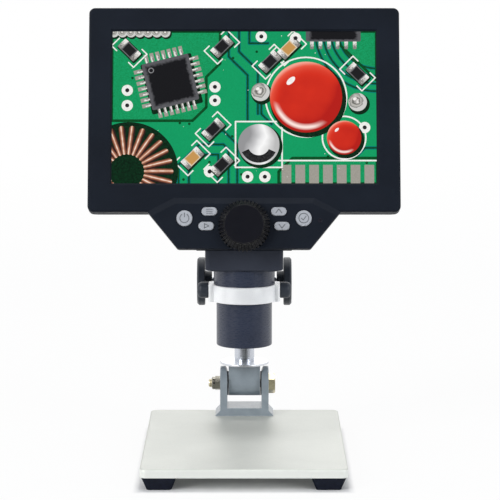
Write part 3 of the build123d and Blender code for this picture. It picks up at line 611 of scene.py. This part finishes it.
# Each sheet's name, its paint and the paint's colours, from the lowest sheet to the topmost.
SCREEN_PAINTS = (
    ("board", glow_board),
    ("pour", glow_grain, (0.004, 0.24, 0.075), (0.008, 0.37, 0.14), 1900),
    ("clearance", glow_grain, (0.0, 0.05, 0.012), (0.0, 0.08, 0.02)),
    ("groove_edge", glow_grain, (0.0, 0.13, 0.15), (0.0, 0.19, 0.19)),
    ("groove", glow_grain, (0.0, 0.055, 0.012), (0.002, 0.085, 0.02)),
    ("pad", glow_grain, (0.26, 0.25, 0.21), (0.42, 0.40, 0.36), 5200),
    ("silk", glow_grain, (0.76, 0.76, 0.72), (0.96, 0.96, 0.94), 1600),
    ("shadow", glow_grain, (0.001, 0.012, 0.004), (0.002, 0.03, 0.01)),
    ("chip_end", glow_end),
    ("chip_body", glow_body, (0.16, 0.16, 0.17), (0.012, 0.012, 0.014)),
    ("ceramic", glow_body, (0.72, 0.62, 0.46), (0.56, 0.30, 0.09)),
    ("black_block", glow_body, (0.10, 0.10, 0.11), (0.008, 0.008, 0.01)),
    ("metal_can", glow_can),
    ("solder", glow_solder),
    ("red_coat", glow_red),
    ("gleam", glow_grain, (0.85, 0.80, 0.78), (1.0, 0.97, 0.95)),
    ("copper", glow_copper),
    ("mark", glow_grain, (0.008, 0.008, 0.009), (0.03, 0.03, 0.032)),
    ("gleam_grey", glow_grain, (0.20, 0.20, 0.21), (0.30, 0.30, 0.31)),
)


# ------------------------------------------------------------------ the picture on the screen
# Places are from the screen's middle, in millimetres; turns are in degrees.
COPPER_POURS = (
    [(-77, 45), (-14, 45), (-14, 26), (-22, 18), (-22, 0), (-30, -8), (-77, -8)],
    [(77, -30), (28, -30), (20, -38), (20, -45), (77, -45)],
    [(48, 45), (77, 45), (77, 16)],
)
CORNER, CORNER_TRACKS = (77, 45), (22, 26.5, 31, 35.5)
TRACKS = (
    [(-9, 45), (-9, 30), (2, 19), (2, -8)], [(-3, 45), (-3, 33), (8, 22), (8, -4)],
    [(-24, -14), (-12, -14), (-4, -22), (-4, -45)], [(77, -24), (70, -24), (64, -30)],
    [(-38, -45), (-38, -34), (-26, -22), (-12, -22), (-9, -25), (-9, -45)], [(3, 45), (3, 38), (14, 38)],
    [(-32, -45), (-32, -36), (-24, -28), (-15, -28), (-15, -45)], [(16, -10), (10, -4), (10, 6), (14, 10)],
)
TRACK_WIDTH, TRACK_EDGE_WIDTH = 1.0, 1.9
HOLES = ((-68, 10), (-68, 1), (-17, 12), (-17, 4), (10, 42), (30, 41), (70, -12), (-20, -38), (2, -41),
         (12, -41))
HOLE_DISCS = (("silk", 3.3), ("pad", 2.8), ("mark", 1.2))
CHIPS = (
    ((-67, 34), -45, "chip_body"), ((-13, 36), 45, "chip_body"), ((-30, -30), 45, "ceramic"),
    ((15, 27), 45, "chip_body"), ((26, 35), 45, "ceramic"), ((-18, -13), 45, "chip_body"),
    ((66, 20), -45, "chip_body"), ((-13, -34), 45, "chip_body"),
)
CHIP_LENGTH, CHIP_WIDTH = 13.0, 6.4
SQUARE_PART, SQUARE_SIDE, SQUARE_LEADS, SQUARE_TURN = (-43, 15), 28, 7, 14
PAD_REACH, TIP_REACH = 3.0, 1.5             # its leads' middles, out from its sides
COIL, COIL_INNER, COIL_OUTER, COIL_TURNS = (-68, -38), 10, 27, 26
RED_DOMES = (((36, 6), 21), ((58, -18), 10))
SOLDER_DOMES, SOLDER_RADIUS = ((66, 3), (9.5, 9)), 5.4
SOLDER_ROW, SOLDER_ROW_RADIUS, SOLDER_ROW_PITCH = (-76, 44.4), 2.9, 5.0
CAN, CAN_RADIUS, CAN_FRAME = (8.5, -22), 12.0, 27
EDGE_PAD, EDGE_PAD_PITCH = (24.5, -39.5), 8
PIN, PIN_PITCH = (39.5, 37), 5              # of the block at the upper edge
SPECKS, SPECK_SEED = 34, 7
SPECK_REACH = (74, 43)


def chip(sheets, middle, turn, body):
    """A chip part with a bright cap at each end and a printed bracket round each of them."""
    length, width = CHIP_LENGTH, CHIP_WIDTH
    shade = turned_point(middle, 0.4, -0.6, 0)
    sheets["shadow"].rectangle(shade, length * 1.08, width * 1.2, turn, 0.6)
    sheets[body].rectangle(middle, length * 0.6, width, turn)
    for side in (-1, 1):
        cap = turned_point(middle, side * length * 0.38, 0, turn)
        sheets["chip_end"].rectangle(cap, length * 0.24, width * 1.04, turn, 0.5)
        bracket = [turned_point(middle, side * x * length, y * width, turn)
                   for x, y in ((0.38, 0.86), (0.70, 0.86), (0.70, -0.86), (0.38, -0.86))]
        sheets["silk"].line(bracket, 0.75)


def square_part(sheets, middle, side, leads, turn):
    """A black square part with bright leads on all four sides and a mark near one corner."""
    pitch = side * 0.86 / leads
    for quarter in range(4):
        way = turn + 90 * quarter
        for lead in range(leads):
            along = pitch * (lead - (leads - 1) / 2)
            pad = turned_point(middle, side / 2 + PAD_REACH, along, way)
            tip = turned_point(middle, side / 2 + TIP_REACH, along, way)
            sheets["pad"].rectangle(pad, 4.6, pitch * 0.66, way)
            sheets["chip_end"].rectangle(tip, 3.8, pitch * 0.42, way, 0.3)
    sheets["shadow"].rectangle(turned_point(middle, 0.8, -1.1, 0), side + 2.4, side + 2.4, turn, 1)
    sheets["black_block"].rectangle(middle, side, side, turn, 1)
    sheets["gleam_grey"].arc(turned_point(middle, -side * 0.33, side * 0.33, turn), 1.4, 0.5)


def wound_coil(sheets, middle, inner, outer, turns):
    """Thick copper wire wound on a black ring that runs out of the picture."""
    sheets["shadow"].disc((middle[0] + 1.2, middle[1] + 0.6), outer + 1.6, steps=64)
    sheets["clearance"].disc(middle, inner, steps=40)
    halfway = (inner + outer) / 2
    pitch = 2 * math.pi * halfway / turns
    for turn in range(turns):
        way = 360 * turn / turns
        sheets["copper"].rectangle(turned_point(middle, halfway, 0, way), outer - inner, pitch * 0.82,
                                   way, pitch * 0.4)


def draw_bare_board(sheets):
    """The green board with its copper areas, tracks, plated holes and a few specks of dust."""
    sheets["board"].rectangle((0, 0), SCREEN_W, SCREEN_H)
    for pour in COPPER_POURS:
        sheets["groove"].line(pour, 1.6, closed=True)
        sheets["pour"].polygon(pour)
    for radius in CORNER_TRACKS:
        sheets["groove_edge"].arc(CORNER, radius, TRACK_EDGE_WIDTH, 180, 270)
        sheets["groove"].arc(CORNER, radius, TRACK_WIDTH, 180, 270)
    for track in TRACKS:
        sheets["groove_edge"].line(track, TRACK_EDGE_WIDTH)
        sheets["groove"].line(track, TRACK_WIDTH)
    for place in HOLES:
        for sheet, radius in HOLE_DISCS:
            sheets[sheet].disc(place, radius)
    dice = random.Random(SPECK_SEED)
    reach_x, reach_y = SPECK_REACH
    for _ in range(SPECKS):
        hole = (dice.uniform(-reach_x, reach_x), dice.uniform(-reach_y, reach_y))
        sheets["groove"].disc(hole, 0.8, steps=10)
        dust = (dice.uniform(-reach_x, reach_x), dice.uniform(-reach_y, reach_y))
        sheets["silk"].disc(dust, dice.uniform(0.15, 0.32), steps=8)


def draw_parts(sheets):
    """Everything that stands on the board."""
    square_part(sheets, SQUARE_PART, SQUARE_SIDE, SQUARE_LEADS, SQUARE_TURN)
    for pad in range(7):
        sheets["pad"].rectangle((EDGE_PAD[0] + EDGE_PAD_PITCH * pad, EDGE_PAD[1]), 5.6, 11)
    sheets["silk"].line([(20, -31.5), (77, -31.5)], 0.9)
    wound_coil(sheets, COIL, COIL_INNER, COIL_OUTER, COIL_TURNS)
    for middle, turn, body in CHIPS:
        chip(sheets, middle, turn, body)

    sheets["silk"].square_frame(CAN, CAN_FRAME, 0.9)
    sheets["shadow"].disc((CAN[0] + 1.0, CAN[1] - 1.2), CAN_RADIUS + 0.8, steps=48)
    sheets["metal_can"].disc(CAN, CAN_RADIUS, steps=48)
    sheets["mark"].arc(CAN, 8.6, 4.4, 205, 335)

    for (x, y), radius in RED_DOMES:
        sheets["silk"].arc((x, y), radius + 2.6, 0.9, steps=60)
        sheets["shadow"].disc((x + 1.2, y - 1.6), radius * 1.06, steps=60)
        sheets["red_coat"].disc((x, y), radius, steps=72)
        sheets["gleam"].disc((x - radius * 0.42, y + radius * 0.46), radius * 0.15, 0.5, 44)
    for lead in range(7):
        x, y = SOLDER_ROW[0] + SOLDER_ROW_PITCH * lead, SOLDER_ROW[1]
        sheets["shadow"].disc((x + 0.6, y - 0.8), SOLDER_ROW_RADIUS + 0.3)
        sheets["solder"].disc((x, y), SOLDER_ROW_RADIUS)
    for x, y in SOLDER_DOMES:
        sheets["shadow"].disc((x + 0.9, y - 1.2), SOLDER_RADIUS + 0.8)
        sheets["solder"].disc((x, y), SOLDER_RADIUS)
        sheets["gleam"].disc((x - 1.6, y + 1.9), 1.2, 0.7, 30, steps=14)
    sheets["black_block"].rectangle((52, 46), 32, 14, corner=1)
    for pin in range(6):
        sheets["chip_end"].rectangle((PIN[0] + PIN_PITCH * pin, PIN[1]), 2.1, 5.0, corner=0.6)


def make_screen():
    half = (SCREEN_W / 2, SCREEN_H / 2)
    sheets = {}
    for level, (name, paint, *colours) in enumerate(SCREEN_PAINTS):
        w = GLASS_W + LAYER * (level + 1)
        sheets[name] = Sheet("screen_" + name, paint(name, *colours), w, SCREEN_V, half)
    draw_bare_board(sheets)
    draw_parts(sheets)
    for sheet in sheets.values():
        sheet.finish("head", "lcd_glass")


# ------------------------------------------------------------------ marks on the keys
def make_legends():
    """Generic signs, one sheet for each key so that it moves with its key."""
    ink = moulded_plastic("legend_ink", (0.105, 0.112, 0.125), 0.6, grain=2600)
    sheets = {name: Sheet("legend_" + name, ink, BUTTON_TOP + LEGEND_LIFT) for name in BUTTONS}
    line = LEGEND_LINE

    u, v = BUTTONS["power_button"]
    sheets["power_button"].arc((u, v), 2.6, line, 120, 420, 26)
    sheets["power_button"].line([(u, v + 0.8), (u, v + 3.0)], line)
    u, v = BUTTONS["ok_button"]
    sheets["ok_button"].arc((u, v), 2.8, line)
    sheets["ok_button"].line([(u - 1.4, v), (u - 0.3, v - 1.1), (u + 1.4, v + 1.2)], line)
    u, v = BUTTONS["menu_button"]
    for row in (-1.15, 0, 1.15):
        sheets["menu_button"].line([(u - 1.7, v + row), (u + 1.7, v + row)], line * 0.8)
    u, v = BUTTONS["play_button"]
    sheets["play_button"].line([(u - 1.0, v - 1.3), (u + 1.5, v), (u - 1.0, v + 1.3)], line, closed=True)
    for name, way in (("up_button", 1), ("down_button", -1)):
        u, v = BUTTONS[name]
        sheets[name].line([(u - 1.7, v - 0.9 * way), (u, v + 1.3 * way), (u + 1.7, v - 0.9 * way)], line)
    for name, sheet in sheets.items():
        sheet.finish(name, "knob_plastic")


# ------------------------------------------------------------------ stage, lights and camera
OPEN_FLOOR_GLOW, SHADED_FLOOR_GLOW = 0.93, 0.0      # shares of white that the camera sees
SHADE_SOFT = 4
HORIZON_HALF, HORIZON_SOFT = (700, 700), 900
FLOOR_HALF = 6.0                                    # metres
MIRRORED_FRONT, MIRRORED_SHADE_UNDER = 0.06, 0.1          # the floor in reflections: dark in front, and a painted shadow under the plate
FRONT_FADE = (-0.13, -0.05)                         # metres along y
WORLD_LAMP, WORLD_DARK = 0.36, 0.22                 # strengths as a lamp and in dark reflections
DARK_FADE_Y, DARK_FADE_Z = (-0.88, -0.50), (0.55, 0.75)     # parts of a direction

# The camera was fitted to the photograph, which is 500 pixels wide.
CAMERA_PLACE, CAMERA_DOWN = (0.0034, -1.3500, 0.3121), 8.0  # metres and degrees
FOCAL_PIXELS, FRAME_PIXELS, SENSOR_WIDTH = 2365.0, 500.0, 36.0

# Each lamp's name, its place, target, width and height in metres, its watts, and its colour if not white.
LAMPS = (
    ("key_left", (-1.35, -1.25, 0.95), (0, 0, 0.15), 0.6, 1.7, 24),
    ("fill_right", (1.45, -1.15, 0.9), (0, 0, 0.15), 0.6, 1.6, 14, (0.95, 0.98, 1.0)),
    ("top", (0, 0.3, 1.7), (0, 0, 0.1), 1.3, 1.3, 8),
    ("rear", (0.2, 1.6, 0.9), (0, 0, 0.15), 1.2, 0.8, 5),
)


def box_mask(shader, half, centre_y, soft):
    """One inside the box seen from above, falling to nothing over the soft margin outside it."""
    x, y, _ = shader.node("ShaderNodeSeparateXYZ", {0: shader.position}).outputs
    across = shader.math("SUBTRACT", shader.math("ABSOLUTE", x), half[0] * MM)
    depth = shader.math("SUBTRACT", y, centre_y * MM)
    along = shader.math("SUBTRACT", shader.math("ABSOLUTE", depth), half[1] * MM)
    return shader.remap(shader.math("MAXIMUM", across, along), 1.0, 0.0, 0.0, soft * MM)


def floor_material():
    """Pale, whiter with distance to the camera, and dark in front of the object in reflections, with a
    painted shadow under the plate there.
    """
    shader = Shader("floor_white", 0.9, specular=0.1)
    shader.feed("Base Color", shader.two_tone(shader.noise(3, 2), (0.86, 0.86, 0.865), (0.88, 0.88, 0.885)))
    rays = shader.node("ShaderNodeLightPath").outputs
    under = box_mask(shader, PLATE_HALF, PLATE_CENTRE_Y, SHADE_SOFT)
    near = box_mask(shader, HORIZON_HALF, 0, HORIZON_SOFT)
    lift = shader.remap(under, shader.remap(near, 1.0, OPEN_FLOOR_GLOW), SHADED_FLOOR_GLOW)
    front = shader.remap(shader.along(shader.position, 1), MIRRORED_FRONT, 1.0, *FRONT_FADE)
    # In reflections the floor under the plate is painted dark: a painted shadow.
    mirrored = shader.math("MULTIPLY", front, shader.remap(under, 1.0, MIRRORED_SHADE_UNDER))
    strength = shader.remap(rays["Is Glossy Ray"], 1.0, mirrored)
    glow = shader.node("ShaderNodeEmission", {"Color": (1, 1, 1, 1), "Strength": strength})
    seen = shader.math("MAXIMUM", rays["Is Camera Ray"], rays["Is Transmission Ray"])
    share = shader.math("MAXIMUM", shader.math("MULTIPLY", seen, lift), rays["Is Glossy Ray"])
    result = shader.blend(share, shader.surface.outputs[0], glow.outputs[0])
    shader.tree.links.new(result, shader.tree.nodes["Material Output"].inputs["Surface"])
    return shader.material


def make_stage():
    """The floor; the object's own shade stays on it."""
    data = bpy.data.meshes.new("floor")
    corners = [(sx * FLOOR_HALF, sy * FLOOR_HALF, 0) for sx, sy in ((-1, -1), (1, -1), (1, 1), (-1, 1))]
    data.from_pydata(corners, [], [(0, 1, 2, 3)])
    floor = add_object("floor", data, floor_material())


def make_world():
    """White all round for what is seen and mirrored, dark behind the camera; softer as a lamp."""
    world = bpy.data.worlds.new("studio")
    bpy.context.scene.world = world
    world.use_nodes = True
    nodes = Nodes(world.node_tree)

    def background(colour, strength):
        made = nodes.node("ShaderNodeBackground", {"Color": (*colour, 1), "Strength": strength})
        return made.outputs[0]

    rays = nodes.node("ShaderNodeLightPath").outputs
    way = nodes.node("ShaderNodeTexCoord").outputs["Generated"]
    _, way_y, way_z = nodes.node("ShaderNodeSeparateXYZ", {0: way}).outputs
    in_front = nodes.remap(way_y, 1.0, 0.0, *DARK_FADE_Y)
    not_above = nodes.remap(way_z, 1.0, 0.0, *DARK_FADE_Z)
    dark = nodes.math("MULTIPLY", in_front, not_above)
    white = background((1, 1, 1), 1.0)
    mirrored = nodes.blend(dark, white, background((0.9, 0.95, 1.0), WORLD_DARK))
    lamp = background((0.93, 0.96, 1.0), WORLD_LAMP)
    result = nodes.blend(rays["Is Glossy Ray"], lamp, mirrored)
    result = nodes.blend(rays["Is Transmission Ray"], result, white)
    result = nodes.blend(rays["Is Camera Ray"], result, white)
    nodes.tree.links.new(result, nodes.tree.nodes["World Output"].inputs["Surface"])


def area_light(name, place, target, width, height, power, colour=(1, 1, 1)):
    light = bpy.data.lights.new(name, "AREA")
    light.shape = "RECTANGLE"
    light.size, light.size_y = width, height
    light.energy = power
    light.color = colour
    lamp = bpy.data.objects.new(name, light)
    lamp.location = place
    direction = Vector(target) - Vector(place)
    lamp.rotation_euler = direction.to_track_quat("-Z", "Y").to_euler()
    bpy.context.scene.collection.objects.link(lamp)


def make_lights():
    """Two tall softboxes beside the camera, one overhead and one behind."""
    for lamp in LAMPS:
        area_light(*lamp)


def make_camera():
    data = bpy.data.cameras.new("camera")
    data.sensor_width = SENSOR_WIDTH
    data.lens = FOCAL_PIXELS / FRAME_PIXELS * SENSOR_WIDTH
    data.clip_start, data.clip_end = 0.05, 50
    camera = bpy.data.objects.new("camera", data)
    camera.location = CAMERA_PLACE
    camera.rotation_euler = (math.pi / 2 - math.radians(CAMERA_DOWN), 0, 0)
    bpy.context.scene.collection.objects.link(camera)
    bpy.context.scene.camera = camera


make_washers()
make_screen()
make_legends()
make_stage()
make_world()
make_lights()
make_camera()
bpy.context.scene.view_settings.view_transform = "Standard"
